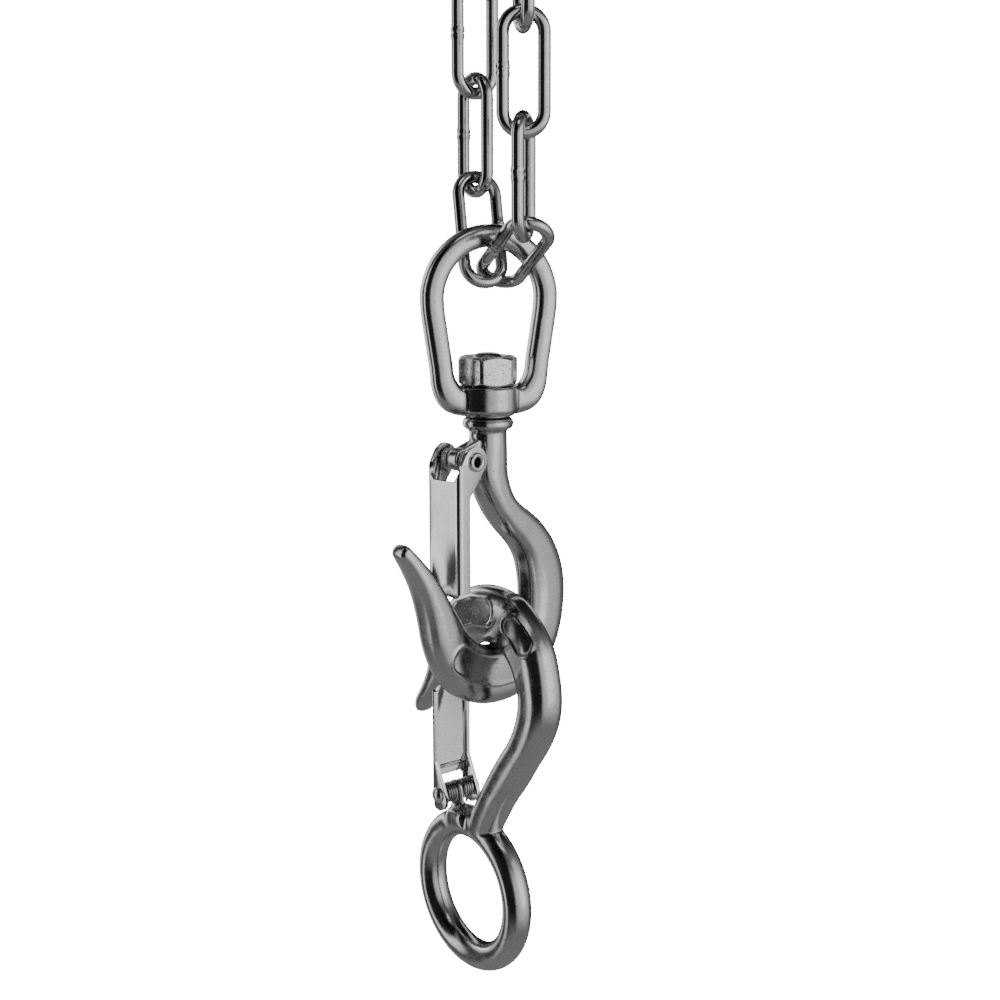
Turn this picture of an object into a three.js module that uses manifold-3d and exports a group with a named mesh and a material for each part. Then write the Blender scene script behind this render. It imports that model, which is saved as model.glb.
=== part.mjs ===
// A chain-hung pair of safety hooks: an endless long-link chain on a top ring, a swivel hook
// in a forged bow, and an eye hook hooked into it.
// Millimetres, +Z up. The origin is the hanging point, at the inner top of the top ring.

import * as THREE from 'three';
import { mergeVertices } from 'three/addons/utils/BufferGeometryUtils.js';
import Module from 'manifold-3d';

const wasm = await Module();
wasm.setup();

// ---- Driving dimensions ----

const GAP = 0.3; // clearance between touching pieces

const RING_INNER = 47;
const RING_WIRE = 6;
const RING_TURN = 27; // degrees, the ring's plane from X

const WIRE = 4; // chain wire
const LINK_LENGTH = 38;
const LINK_WIDTH = 16;
const LINK_PLAY = 0.5;
const LINK_INSET = WIRE + LINK_PLAY; // wire centre to wire centre where two links bear
const LINK_REACH = LINK_LENGTH - WIRE; // wire centre to wire centre within one link
const TOP_LINK_DIP = 23; // degrees, the slope of the link laid over the ring

const STEM_X = -2.2; // the swivel axis, from the hanging point
const STEM_Y = 0.2;
const COLLAR_Z = -198.5; // underside of the hook's collar
const COLLAR_RADIUS = 8;
const COLLAR_HEIGHT = 3.8;
const SHANK_RADIUS = 5; // M10 shank
const BORE_RADIUS = SHANK_RADIUS + GAP;
const HUB_RADIUS = 9.5;
const HUB_HEIGHT = 9.4;
const NUT_ACROSS_FLATS = 17;
const NUT_HEIGHT = 8.8;
const SHANK_PROUD = 1.2; // domed shank end above the nut

const BOW_TURN = 22; // degrees, the bow's plane from X
const BOW_U = 0.5; // the loop's middle, from the stem axis
const BOW_BAR_HALF_WIDTH = 3.5;
const BOW_BAR_HALF_DEPTH = 3.8;
const BOW_FOOT_TOP = 17; // where the bar starts to thicken towards the hub
const BOW_FOOT_REACH = 7; // the height over which it thickens
const BOW_FOOT_WIDENING = 1; // on the bar's half width, where it meets the hub
const BOW_FOOT_DEEPENING = 0.4; // on its half depth

const HOOK_TURN = 45; // degrees, the swivel hook's plane from X
const EYE_HOOK_TURN = -51;
const SEAT_DROP = 69.7; // collar underside to the load point in the bowl
const HOOK_PLAY = 0.5; // between the two hooks at the load point
const BOWL_U = 3; // load point, from the stem axis towards the hook's back
const NECK_RADIUS = 5.8;
const HALF_THICKNESS = 6; // forged hook body, across its plane
const TIP_THINNING = 3.4; // how much less its half thickness is at the tip
const TIP_END = 0.6; // the size of the blunt tip's end, of the section before it
const EYE_ROOT_THINNING = 1.3; // how much less the half thickness is where the eye starts

const EYE_INNER = 36;
const EYE_BAR = 9.6;
const EYE_BOWL_TURN = 6; // degrees, the eye hook's bowl against the swivel hook's
const EYE_TIP_TRIM = 2.6; // how much shorter the eye hook's tip is
const EYE_U = -8.5; // eye centre, from the stem line
const EYE_DROP = 87.8; // load point to eye centre

const SHEET = 1.3; // latch sheet thickness
const LATCH_WIDTH = 14.6;
const RIVET_RADIUS = 1.9;
const RIVET_HEAD = 0.9;
const RIVET_BORE = 1.2; // half the hole in a tubular rivet
const PIVOT_BORE = RIVET_RADIUS + 0.35;
const LUG_RADIUS = 3.6;
const SPRING_WIRE = 0.42; // half the wire's diameter
const SPRING_RADIUS = 3; // coil, at the wire's centre

// Where each latch sits, in its hook's plane: u towards the back, z up from the load point.
// earDrop is how far the ear reaches past the pivot beyond its radius; lugHalf is half the
// width of the hook's lug; springTurns is counted each side of it.
const UPPER_LATCH = {
  pivot: [-12.2, 61.4], web: -19.1, webStart: 5.9, end: 20.6, flange: 4.4,
  earFront: 4.6, earDrop: 0, headRadius: 3.1, lugHalf: 2.2, springTurns: 2.5,
};
const LOWER_LATCH = {
  pivot: [-18, 55.8], web: -22, webStart: 5.4, end: 20.2, flange: 2.4,
  earFront: 4, earDrop: 1.5, headRadius: 2.6, lugHalf: 1.2, springTurns: 3.5,
};

// ---- Materials ----

const steel = (colour, roughness) =>
  new THREE.MeshStandardMaterial({ color: colour, roughness, metalness: 1 });
const polishedSteel = steel(0xc9cbcc, 0.18);
const chainSteel = steel(0xc4c6c8, 0.2);
const sheetSteel = steel(0xd2d3d4, 0.3);
const springSteel = steel(0xa9acb0, 0.28);

// ---- Geometry helpers ----

const radians = THREE.MathUtils.degToRad;
const vector = (x, y, z) => new THREE.Vector3(x, y, z);

// A closed skin over rings of points; an open run of rings gets an end cap at each end.
function loft(rings, closed = false) {
  const sides = rings[0].length;
  const points = rings.flat();
  const faces = [];
  const spans = closed ? rings.length : rings.length - 1;
  for (let i = 0; i < spans; i++) {
    const here = i * sides;
    const next = ((i + 1) % rings.length) * sides;
    for (let j = 0; j < sides; j++) {
      const k = (j + 1) % sides;
      faces.push(here + j, next + j, next + k, here + j, next + k, here + k);
    }
  }
  if (!closed) {
    const last = (rings.length - 1) * sides;
    for (let j = 1; j < sides - 1; j++) {
      faces.push(0, j, j + 1, last, last + j + 1, last + j);
    }
  }
  const geometry = new THREE.BufferGeometry().setFromPoints(points);
  geometry.setIndex(faces);
  return turnedOutward(geometry);
}

function signedVolume(geometry) {
  const position = geometry.getAttribute('position');
  const corner = (n) => vector(0, 0, 0).fromBufferAttribute(position, geometry.index.getX(n));
  let volume = 0;
  for (let n = 0; n < geometry.index.count; n += 3) {
    volume += corner(n).dot(corner(n + 1).cross(corner(n + 2))) / 6;
  }
  return volume;
}

function turnedOutward(geometry) {
  if (signedVolume(geometry) < 0) {
    geometry.setIndex([...geometry.index.array].reverse());
  }
  return geometry;
}

// A rounded outline: exponent 2 is an ellipse, and more is squarer.
function roundedOutline(halfWidth, halfHeight, exponent, sides) {
  const outline = [];
  for (let j = 0; j < sides; j++) {
    const angle = ((j + 0.5) / sides) * 2 * Math.PI;
    const bend = (value) => Math.sign(value) * Math.abs(value) ** (2 / exponent);
    outline.push([halfWidth * bend(Math.cos(angle)), halfHeight * bend(Math.sin(angle))]);
  }
  return outline;
}

function toSolid(geometry) {
  const bare = geometry.clone();
  bare.deleteAttribute('normal');
  bare.deleteAttribute('uv');
  const merged = mergeVertices(bare, 1e-4);
  return new wasm.Manifold(new wasm.Mesh({
    numProp: 3,
    vertProperties: new Float32Array(merged.getAttribute('position').array),
    triVerts: new Uint32Array(merged.index.array),
  }));
}

function toGeometry(solid) {
  const mesh = solid.getMesh();
  const geometry = new THREE.BufferGeometry();
  geometry.setAttribute('position', new THREE.BufferAttribute(mesh.vertProperties, mesh.numProp));
  geometry.setIndex(new THREE.BufferAttribute(mesh.triVerts, 1));
  return geometry;
}

function lathe(profile, segments) {
  const points = profile.map(([radius, z]) => new THREE.Vector2(radius, z));
  const geometry = new THREE.LatheGeometry(points, segments);
  geometry.rotateX(Math.PI / 2);
  return turnedOutward(geometry);
}

// A round bar along Y, centred at (u, 0, z).
function crossBar(radius, length, u, z, segments = 16) {
  const geometry = new THREE.CylinderGeometry(radius, radius, length, segments);
  geometry.translate(u, 0, z);
  return toSolid(geometry);
}

function block(width, depth, height, x, y, z) {
  return toSolid(new THREE.BoxGeometry(width, depth, height).translate(x, y, z));
}

// A flat outline in the XZ plane, extruded evenly to both sides along Y.
function plate(shape, thickness, curveSegments = 8) {
  const geometry = new THREE.ExtrudeGeometry(shape, {
    depth: thickness,
    bevelEnabled: false,
    curveSegments,
  });
  geometry.translate(0, 0, -thickness / 2);
  geometry.rotateX(Math.PI / 2);
  return toSolid(geometry);
}

const assembly = new THREE.Group();

function addPiece(parent, name, geometry, material) {
  const mesh = new THREE.Mesh(geometry, material);
  mesh.name = name;
  parent.add(mesh);
  return mesh;
}

function addGroup(parent, x, y, z, turn) {
  const group = new THREE.Group();
  group.position.set(x, y, z);
  group.rotation.z = radians(turn);
  parent.add(group);
  return group;
}

// ---- Top ring ----

const ringRadius = (RING_INNER + RING_WIRE) / 2;
const ringBottom = vector(0, 0, -RING_INNER - RING_WIRE / 2);
const ringGroup = addGroup(assembly, 0, 0, -RING_INNER / 2, RING_TURN);
const ringGeometry = new THREE.TorusGeometry(ringRadius, RING_WIRE / 2, 12, 36);
ringGeometry.rotateX(Math.PI / 2);
addPiece(ringGroup, 'top_ring', toGeometry(toSolid(ringGeometry)), polishedSteel);

// ---- Endless chain ----

// One link: its long axis on Z, its width on X, its centre at the origin.
function linkGeometry() {
  const radius = (LINK_WIDTH - WIRE) / 2;
  const straight = LINK_REACH / 2 - radius;
  const steps = 8;
  const sides = 8;
  const rings = [];
  for (const end of [1, -1]) {
    for (let i = 0; i <= steps; i++) {
      const angle = (i / steps) * Math.PI;
      const outward = vector(end * Math.cos(angle), 0, end * Math.sin(angle));
      const centre = outward.clone().multiplyScalar(radius);
      centre.z += end * straight;
      rings.push(roundedOutline(WIRE / 2, WIRE / 2, 2, sides).map(([across, along]) =>
        centre.clone().addScaledVector(outward, across).add(vector(0, along, 0))));
    }
  }
  return loft(rings, true);
}

const sharedLink = linkGeometry();

// Lays a link from one end's wire centre towards a point, with its width along across.
function layLink(name, start, towards, across) {
  const along = towards.clone().sub(start).normalize();
  const width = across.clone().addScaledVector(along, -across.dot(along)).normalize();
  const face = along.clone().cross(width);
  const link = addPiece(assembly, name, sharedLink, chainSteel);
  link.position.copy(start).addScaledVector(along, LINK_REACH / 2);
  link.quaternion.setFromRotationMatrix(new THREE.Matrix4().makeBasis(width, face, along));
  return start.clone().addScaledVector(along, LINK_REACH);
}

const level = (degrees) => vector(Math.cos(radians(degrees)), Math.sin(radians(degrees)), 0);

// A run of links hung from a point towards another; returns the last end's wire centre.
function hangStrand(names, turns, top, towards) {
  const along = towards.clone().sub(top).normalize();
  let start = top;
  let end = top;
  names.forEach((name, i) => {
    end = layLink(name, start, start.clone().add(along), level(turns[i]));
    start = end.clone().addScaledVector(along, -LINK_INSET);
  });
  return end;
}

// The link laid over the ring: the ring's curve lifts its two legs off the lowest point.
const overRing = level(RING_TURN - 90);
const dip = radians(TOP_LINK_DIP);
const topAlong = overRing.clone().multiplyScalar(Math.cos(dip)).add(vector(0, 0, -Math.sin(dip)));
const topFace = overRing.clone().multiplyScalar(Math.sin(dip)).add(vector(0, 0, Math.cos(dip)));
const legOffset = (LINK_WIDTH - WIRE) / 2;
const ringRise = ringRadius - Math.sqrt(ringRadius ** 2 - legOffset ** 2);
const topLift = (RING_WIRE + WIRE) / 2 + ringRise + GAP;
const topCentre = ringBottom.clone().addScaledVector(topFace, topLift);
const backEnd = topCentre.clone().addScaledVector(topAlong, -LINK_REACH / 2);
const frontEnd = layLink('chain_top_link', backEnd, topCentre, level(RING_TURN));

const rise = vector(0, 0, LINK_INSET);
const BACK_STRAND_FOOT = vector(-6.1, 13.8, -125.8);
const FRONT_STRAND_FOOT = vector(8.4, -18.3, -138.7);
const BIGHT_FOOT = vector(-3.1, 2.1, -154); // towards where the bight's back link ends
const backFoot = hangStrand(
  ['chain_back_link_1', 'chain_back_link_2', 'chain_back_link_3'],
  [-57, 30, -52],
  backEnd.clone().add(rise),
  BACK_STRAND_FOOT,
);
hangStrand(
  ['chain_front_link_1', 'chain_front_link_2', 'chain_front_link_3'],
  [-78, 4, 73],
  frontEnd.clone().add(rise),
  FRONT_STRAND_FOOT,
);
layLink('chain_back_link_4', backFoot.clone().add(rise), BIGHT_FOOT, level(20));

// The front link of the bight crosses under the crown of the bow and up in front of it.
const FRONT_BIGHT_START = vector(-0.2, 8.3, -153.2);
const FRONT_BIGHT_END = vector(12, -18.5, -136.1);
layLink('chain_front_link_4', FRONT_BIGHT_START, FRONT_BIGHT_END, vector(0.92, 0.21, -0.34));

// ---- Swivel bow ----

const hubBottom = COLLAR_HEIGHT + GAP;
const nutBottom = hubBottom + HUB_HEIGHT + GAP;
const stem = addGroup(assembly, STEM_X, STEM_Y, COLLAR_Z, 0);

// Centre-line of the bow's bar, from the hub round to the crown: half of a mirrored loop.
const BOW_HALF = [
  [4.5, 8.9], [9.2, 8.9], [12.8, 10.6], [15.1, 15], [16, 21], [17.4, 30], [18.5, 38],
  [18.2, 44], [15.6, 50.3], [11, 55.2], [5.6, 58.1], [0, 59],
];

function bowGeometry() {
  const centreLine = [...BOW_HALF, ...BOW_HALF.slice(0, -1).reverse().map(([u, z]) => [-u, z])];
  const path = new THREE.SplineCurve(centreLine.map(([u, z]) => new THREE.Vector2(u + BOW_U, z)));
  const steps = 2 * (centreLine.length - 1);
  const rings = [];
  for (let i = 0; i <= steps; i++) {
    const centre = path.getPoint(i / steps);
    const tangent = path.getTangent(i / steps);
    const outward = vector(tangent.y, 0, -tangent.x);
    const foot = THREE.MathUtils.clamp((BOW_FOOT_TOP - centre.y) / BOW_FOOT_REACH, 0, 1);
    const halfWidth = BOW_BAR_HALF_WIDTH + BOW_FOOT_WIDENING * foot;
    const halfDepth = BOW_BAR_HALF_DEPTH + BOW_FOOT_DEEPENING * foot;
    const bar = roundedOutline(halfWidth, halfDepth, 3, 12);
    rings.push(bar.map(([across, depth]) =>
      vector(centre.x, depth, centre.y).addScaledVector(outward, across)));
  }
  const chamfer = 0.6;
  const taper = 1.8;
  const hub = toSolid(lathe([
    [0, hubBottom], [HUB_RADIUS - taper, hubBottom], [HUB_RADIUS, hubBottom + taper],
    [HUB_RADIUS, hubBottom + HUB_HEIGHT - chamfer],
    [HUB_RADIUS - chamfer, hubBottom + HUB_HEIGHT], [0, hubBottom + HUB_HEIGHT],
  ], 32));
  const nutRoom = toSolid(lathe([
    [0, nutBottom - GAP], [HUB_RADIUS + 1, nutBottom - GAP],
    [HUB_RADIUS + 1, nutBottom + NUT_HEIGHT + 1], [0, nutBottom + NUT_HEIGHT + 1],
  ], 32));
  const bore = toSolid(lathe([
    [0, hubBottom - 1], [BORE_RADIUS, hubBottom - 1],
    [BORE_RADIUS, nutBottom + 1], [0, nutBottom + 1],
  ], 24));
  return toGeometry(toSolid(loft(rings)).add(hub).subtract(nutRoom).subtract(bore));
}

const bowGroup = addGroup(stem, 0, 0, 0, BOW_TURN);
addPiece(bowGroup, 'swivel_bow', bowGeometry(), polishedSteel);

// ---- Nut ----

function nutGeometry() {
  const corner = NUT_ACROSS_FLATS / Math.sqrt(3);
  const top = nutBottom + NUT_HEIGHT;
  const hexagon = new THREE.CylinderGeometry(corner, corner, NUT_HEIGHT, 6);
  hexagon.rotateX(Math.PI / 2);
  hexagon.translate(0, 0, nutBottom + NUT_HEIGHT / 2);
  const face = NUT_ACROSS_FLATS / 2 - 0.2;
  const chamfer = 0.9;
  const turned = toSolid(lathe([
    [0, nutBottom], [face, nutBottom], [corner + 0.1, nutBottom + chamfer],
    [corner + 0.1, top - chamfer], [face, top], [0, top],
  ], 36));
  const bore = toSolid(lathe([
    [0, nutBottom - 1], [BORE_RADIUS, nutBottom - 1], [BORE_RADIUS, top + 1], [0, top + 1],
  ], 24));
  return toGeometry(toSolid(hexagon).intersect(turned).subtract(bore));
}

const hookGroup = addGroup(stem, 0, 0, 0, HOOK_TURN);
const nut = addPiece(hookGroup, 'hook_nut', nutGeometry(), polishedSteel);
nut.rotation.z = radians(5);

// ---- Forged hook bodies ----

// Matching points on the inner and outer outline, [u, z] from the load point, back to tip.
const BOWL_SECTIONS = [
  [[15.6, 7.6], [30.2, 2.4]],
  [[12.6, 3.7], [26.2, -6.4]],
  [[8.4, 1], [18.6, -13.6]],
  [[3, 0], [8.6, -18.2]],
  [[-3, 1.3], [-4, -17.9]],
  [[-8.4, 4.5], [-14.5, -13.4]],
  [[-12.7, 9], [-21.4, -6]],
  [[-16.4, 14.6], [-25.4, 3]],
  [[-20.8, 21.4], [-27.9, 14]],
  [[-25.9, 28.5], [-30.6, 22.4]],
  [[-31, 34.2], [-34.4, 29.6]],
  [[-34.8, 38], [-37.6, 34.4]],
  [[-36.4, 38.6], [-38, 36.4]],
];
const SWIVEL_BACK_SECTIONS = [
  [[-NECK_RADIUS, SEAT_DROP], [NECK_RADIUS, SEAT_DROP]],
  [[-NECK_RADIUS, 63], [NECK_RADIUS, 63]],
  [[-NECK_RADIUS, 56.5], [NECK_RADIUS, 55.5]],
  [[-3.6, 49.5], [7.9, 49]],
  [[0.6, 42.4], [11, 45.4]],
  [[5.6, 36.4], [15.2, 42.6]],
  [[10.6, 31.4], [21, 38]],
  [[14, 26.4], [26.8, 31]],
  [[15.8, 20.4], [30.7, 22.4]],
  [[16.4, 14], [31.8, 13]],
];
const EYE_BACK_SECTIONS = [
  [[-11.5, 66], [2.6, 67.6]],
  [[-8.8, 62.4], [4, 64]],
  [[-5.6, 57.6], [6.6, 59.2]],
  [[-2, 52], [10.6, 52.6]],
  [[3, 43.6], [16.2, 45.4]],
  [[8.2, 36], [21.4, 37.8]],
  [[13.6, 28.6], [27, 29.8]],
  [[17, 21], [31, 21.6]],
  [[18, 14], [32.4, 14]],
];

// The broad foot of the eye hook's lug, between the shank and the eye.
const EYE_PAD = [[-18.5, 61], [-9, 59.8], [-8, 66], [-19, 67.5]];
const EYE_PAD_WIDTH = 11;

// Half the body's thickness: even along its back and bowl, thinning over the tip.
function hookThickness(share) {
  const tipStart = 0.72;
  const taper = Math.max(0, (share - tipStart) / (1 - tipStart));
  return HALF_THICKNESS - TIP_THINNING * taper ** 1.6;
}

// The eye hook's bowl: turned about the bowl's centre, with a shorter tip.
function eyeBowlSections() {
  const centre = new THREE.Vector2(BOWL_U, 15.5);
  const tipDirection = new THREE.Vector2(-0.75, 0.66);
  const tipStart = BOWL_SECTIONS.length - 2;
  return BOWL_SECTIONS.map((pair, i) => pair.map(([u, z]) => {
    const point = new THREE.Vector2(u, z);
    if (i >= tipStart) {
      point.addScaledVector(tipDirection, -EYE_TIP_TRIM);
    }
    return point.rotateAround(centre, radians(EYE_BOWL_TURN)).toArray();
  }));
}

// A lofted body. It starts as a round neck, or as a root thinned to the eye's bar.
function hookBody(backSections, bowlSections, neckIsRound) {
  const sections = [...backSections, ...bowlSections];
  const curve = (side) =>
    new THREE.SplineCurve(sections.map((pair) => new THREE.Vector2(...pair[side])));
  const inner = curve(0);
  const outer = curve(1);
  const steps = 2 * (sections.length - 1);
  const rings = [];
  for (let i = 0; i <= steps; i++) {
    const share = i / steps;
    const inside = inner.getPoint(share);
    const outside = outer.getPoint(share);
    const half = inside.distanceTo(outside) / 2;
    const centre = inside.clone().add(outside).multiplyScalar(0.5);
    const across = outside.clone().sub(inside).normalize();
    const neck = neckIsRound ? Math.max(0, 1 - i / 8) : 0;
    const squareness = 3.2 - 1.2 * neck;
    const root = neckIsRound ? 0 : Math.max(0, 1 - i / 6);
    const rootThickness = hookThickness(share) - EYE_ROOT_THINNING * root;
    const thickness = THREE.MathUtils.lerp(rootThickness, half, neck);
    const tip = i === steps ? TIP_END : 1;
    rings.push(roundedOutline(half * tip, thickness * tip, squareness, 14).map(([a, depth]) =>
      vector(centre.x + across.x * a, depth, centre.y + across.y * a)));
  }
  return toSolid(loft(rings));
}

// The lug that carries the rivet: half a round about the pivot, from a starting angle in
// degrees, closed through the points where it roots in the body.
function hookLug(latch, start, roots) {
  const [u, z] = latch.pivot;
  const lug = new THREE.Shape();
  lug.absarc(u, z, LUG_RADIUS, radians(start), radians(start + 180), false);
  roots.forEach(([rootU, rootZ]) => lug.lineTo(rootU, rootZ));
  lug.closePath();
  return plate(lug, 2 * latch.lugHalf);
}

const pivotHole = (latch) => crossBar(PIVOT_BORE, LATCH_WIDTH, latch.pivot[0], latch.pivot[1], 12);

function swivelHookGeometry() {
  const shankTop = SEAT_DROP + nutBottom + NUT_HEIGHT;
  const rim = 1.2;
  const turned = toSolid(lathe([
    [0, SEAT_DROP - 3], [NECK_RADIUS - 0.2, SEAT_DROP - 3], [NECK_RADIUS - 0.2, SEAT_DROP],
    [COLLAR_RADIUS - rim, SEAT_DROP], [COLLAR_RADIUS - 0.3, SEAT_DROP + rim / 2],
    [COLLAR_RADIUS, SEAT_DROP + COLLAR_HEIGHT / 2],
    [COLLAR_RADIUS - 0.3, SEAT_DROP + COLLAR_HEIGHT - rim / 2],
    [COLLAR_RADIUS - rim, SEAT_DROP + COLLAR_HEIGHT],
    [SHANK_RADIUS, SEAT_DROP + COLLAR_HEIGHT], [SHANK_RADIUS, shankTop],
    [SHANK_RADIUS * 0.7, shankTop + SHANK_PROUD * 0.75], [0, shankTop + SHANK_PROUD],
  ], 28));
  const lug = hookLug(UPPER_LATCH, 90, [[-4, 53], [-4, 67.5]]);
  return toGeometry(hookBody(SWIVEL_BACK_SECTIONS, BOWL_SECTIONS, true)
    .add(turned).add(lug).subtract(pivotHole(UPPER_LATCH)));
}

function eyeHookGeometry() {
  const eye = new THREE.TorusGeometry((EYE_INNER + EYE_BAR) / 2, EYE_BAR / 2, 12, 40);
  eye.rotateX(Math.PI / 2);
  eye.translate(EYE_U, 0, EYE_DROP);
  const opening = crossBar(EYE_INNER / 2, 3 * HALF_THICKNESS, EYE_U, EYE_DROP, 40);
  const lug = hookLug(LOWER_LATCH, 180, [[-13.4, 62], [-12.5, 65], [-18.5, 66]]);
  const pad = plate(new THREE.Shape(EYE_PAD.map(([u, z]) => new THREE.Vector2(u, z))),
    EYE_PAD_WIDTH);
  return toGeometry(hookBody(EYE_BACK_SECTIONS, eyeBowlSections(), false).subtract(opening)
    .add(toSolid(eye)).add(lug).add(pad).subtract(pivotHole(LOWER_LATCH)));
}

// ---- Latches ----

// A channel of bent sheet: a web across the hook's mouth, a flange and an ear on each side.
function latchGeometry(latch) {
  const [u, z] = latch.pivot;
  const ear = new THREE.Shape();
  ear.moveTo(latch.web, latch.end);
  ear.lineTo(latch.web + latch.flange, latch.end);
  ear.lineTo(latch.web + latch.flange, z - 11);
  ear.lineTo(u + latch.earFront, z - 1.5);
  ear.absarc(u, z + latch.earDrop, latch.earFront, 0, Math.PI / 2, false);
  ear.quadraticCurveTo(latch.web + 0.6, z + latch.earDrop + latch.earFront, latch.web, z - 4);
  ear.closePath();
  const inside = LATCH_WIDTH - 2 * SHEET;
  const far = 40;
  const hollow = block(far, inside, 2 * far, latch.web + SHEET + far / 2, 0, z);
  const mouth = block(far, inside, far, latch.web, 0, z - latch.webStart + far / 2);
  return toGeometry(plate(ear, LATCH_WIDTH)
    .subtract(hollow).subtract(mouth).subtract(pivotHole(latch)
      .add(crossBar(PIVOT_BORE, 2 * LATCH_WIDTH, u, z, 12))));
}

function rivetGeometry(latch, tubular) {
  const [u, z] = latch.pivot;
  const ear = LATCH_WIDTH / 2 + GAP;
  const head = ear + RIVET_HEAD;
  const axis = tubular ? RIVET_BORE : 0;
  const rim = latch.headRadius;
  const crown = tubular ? rim - 0.5 : rim * 0.6;
  const profile = [
    [axis, -head], [crown, -head], [rim, -ear - 0.2], [rim, -ear], [RIVET_RADIUS, -ear],
    [RIVET_RADIUS, ear], [rim, ear], [rim, ear + 0.2], [crown, head], [axis, head],
  ];
  const closed = tubular ? [...profile, profile[0]] : profile;
  const geometry = lathe(closed, 18);
  geometry.rotateX(Math.PI / 2);
  geometry.translate(u, 0, z);
  return toGeometry(toSolid(geometry));
}

// A double torsion spring: a coil each side of the lug, a bridge from their outer ends that
// bears on the latch's web, and two legs beside the lug that bear on the hook.
function springGeometry(latch, legEnd) {
  const [u, z] = latch.pivot;
  const inner = latch.lugHalf + GAP + SPRING_WIRE;
  const pitch = 2 * SPRING_WIRE + 0.1;
  const outer = inner + latch.springTurns * pitch;
  const bridgeZ = z - latch.webStart - 3;
  const bridgeU = latch.web + SHEET + 2 * GAP + SPRING_WIRE;
  const steps = 8;
  const half = [vector(bridgeU, outer, bridgeZ)];
  for (let i = 0; i <= latch.springTurns * steps; i++) {
    const angle = Math.PI + (i / steps) * 2 * Math.PI;
    const share = i / (latch.springTurns * steps);
    half.push(vector(
      u + SPRING_RADIUS * Math.cos(angle),
      THREE.MathUtils.lerp(outer, inner, share),
      z + SPRING_RADIUS * Math.sin(angle),
    ));
  }
  half.push(vector(u + legEnd[0], inner, z + legEnd[1]));
  const mirrored = half.map((point) => vector(point.x, -point.y, point.z)).reverse();
  const path = [...mirrored, ...half];
  const rings = path.map((point, i) => {
    const before = path[Math.max(0, i - 1)];
    const after = path[Math.min(path.length - 1, i + 1)];
    const along = after.clone().sub(before).normalize();
    const side = vector(0, 1, 0).addScaledVector(along, -along.y);
    if (side.length() < 0.3) {
      side.set(1, 0, 0).addScaledVector(along, -along.x);
    }
    side.normalize();
    const up = along.clone().cross(side);
    return roundedOutline(SPRING_WIRE, SPRING_WIRE, 2, 6).map(([a, b]) =>
      point.clone().addScaledVector(side, a).addScaledVector(up, b));
  });
  return loft(rings);
}

function addHook(group, names, body, latch, tubularRivet, springLeg) {
  addPiece(group, names.body, body, polishedSteel);
  addPiece(group, names.latch, latchGeometry(latch), sheetSteel);
  addPiece(group, names.rivet, rivetGeometry(latch, tubularRivet), polishedSteel);
  addPiece(group, names.spring, springGeometry(latch, springLeg), springSteel);
}

const seat = addGroup(hookGroup, 0, 0, -SEAT_DROP, 0);
addHook(seat, {
  body: 'swivel_hook', latch: 'upper_latch', rivet: 'upper_latch_rivet', spring: 'upper_latch_spring',
}, swivelHookGeometry(), UPPER_LATCH, true, [4.2, -4.5]);

// The eye hook hangs upside down from the same load point, turned across the swivel hook.
const load = addGroup(seat, BOWL_U, 0, HOOK_PLAY, EYE_HOOK_TURN - HOOK_TURN);
const upsideDown = new THREE.Group();
upsideDown.rotation.x = Math.PI;
upsideDown.position.x = -BOWL_U;
load.add(upsideDown);
addHook(upsideDown, {
  body: 'eye_hook', latch: 'lower_latch', rivet: 'lower_latch_rivet', spring: 'lower_latch_spring',
}, eyeHookGeometry(), LOWER_LATCH, false, [3.4, 3.6]);

export default assembly;
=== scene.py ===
"""Looks for the hanging hook assembly: forged steel, chain, sheet latches and springs."""

from math import cos, pi, radians, sin, sqrt

import bmesh
import bpy
import numpy as np
from mathutils import Matrix


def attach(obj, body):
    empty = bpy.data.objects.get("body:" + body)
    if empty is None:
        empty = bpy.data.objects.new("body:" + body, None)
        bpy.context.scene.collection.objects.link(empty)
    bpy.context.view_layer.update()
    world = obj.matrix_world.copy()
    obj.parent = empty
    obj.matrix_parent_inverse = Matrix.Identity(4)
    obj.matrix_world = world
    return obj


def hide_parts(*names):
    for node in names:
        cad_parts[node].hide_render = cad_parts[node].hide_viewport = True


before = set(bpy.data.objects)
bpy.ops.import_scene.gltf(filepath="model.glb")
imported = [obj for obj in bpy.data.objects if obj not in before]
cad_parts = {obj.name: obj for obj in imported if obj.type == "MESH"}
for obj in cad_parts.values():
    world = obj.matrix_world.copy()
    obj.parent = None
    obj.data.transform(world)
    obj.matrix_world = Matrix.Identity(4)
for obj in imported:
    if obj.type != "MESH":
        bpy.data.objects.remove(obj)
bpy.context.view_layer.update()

MM = 0.001

# ---- Frames of the design, in millimetres and degrees ----

COLLAR_Z = -198.5  # underside of the swivel hook's collar
SEAT_DROP = 69.7  # from there down to the bottom of the swivel hook's bowl
BOWL_U = 3  # from the shank's line back to the bottom of a bowl
GAP = 0.3  # clearance between touching pieces
HOOK_PLAY = 0.5  # clearance between the two hooks where one bears on the other
BOW_TURN = 22
HOOK_TURN = 45
EYE_HOOK_TURN = -96  # from the swivel hook's plane
STEM = Matrix.Translation((-2.2, 0.2, COLLAR_Z))


def turn(degrees):
    return Matrix.Rotation(radians(degrees), 4, "Z")


BOW = STEM @ turn(BOW_TURN)
HOOK = STEM @ turn(HOOK_TURN) @ Matrix.Translation((0, 0, -SEAT_DROP))
EYE_HOOK = (
    HOOK
    @ Matrix.Translation((BOWL_U, 0, HOOK_PLAY))
    @ turn(EYE_HOOK_TURN)
    @ Matrix.Translation((-BOWL_U, 0, 0))
    @ Matrix.Rotation(pi, 4, "X")
)

# ---- Mesh helpers ----


def to_world(points, place):
    """Points carried out of a design frame, still in millimetres."""
    points = np.asarray(points, float)
    place = np.array(place)
    return points @ place[:3, :3].T + place[:3, 3]


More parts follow.
